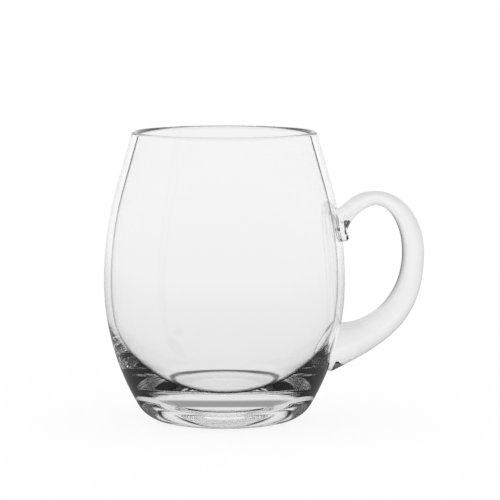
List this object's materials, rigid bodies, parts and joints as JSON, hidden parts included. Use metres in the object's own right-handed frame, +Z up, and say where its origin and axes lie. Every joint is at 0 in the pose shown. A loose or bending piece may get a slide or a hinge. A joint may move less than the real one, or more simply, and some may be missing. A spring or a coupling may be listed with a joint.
{
  "type": "glass beer mug",
  "caption": "Barrel-shaped drinking mug of clear blown glass with a heavy base, a fire-polished rim and a drawn handle applied to its side.",
  "frame": {"origin": "middle of the flat foot that the mug stands on", "axes": "+Z up along the bowl's axis, +X towards the handle, +Y across the handle"},
  "size_m": [0.1328, 0.1, 0.12],
  "materials": {
    "bowl_glass": "clear, fire-polished",
    "handle_glass": "clear, drawn and fire-polished"
  },
  "bodies": {
    "root": {"bowl": "bowl_glass", "handle": "handle_glass"}
  },
  "joints": []
}
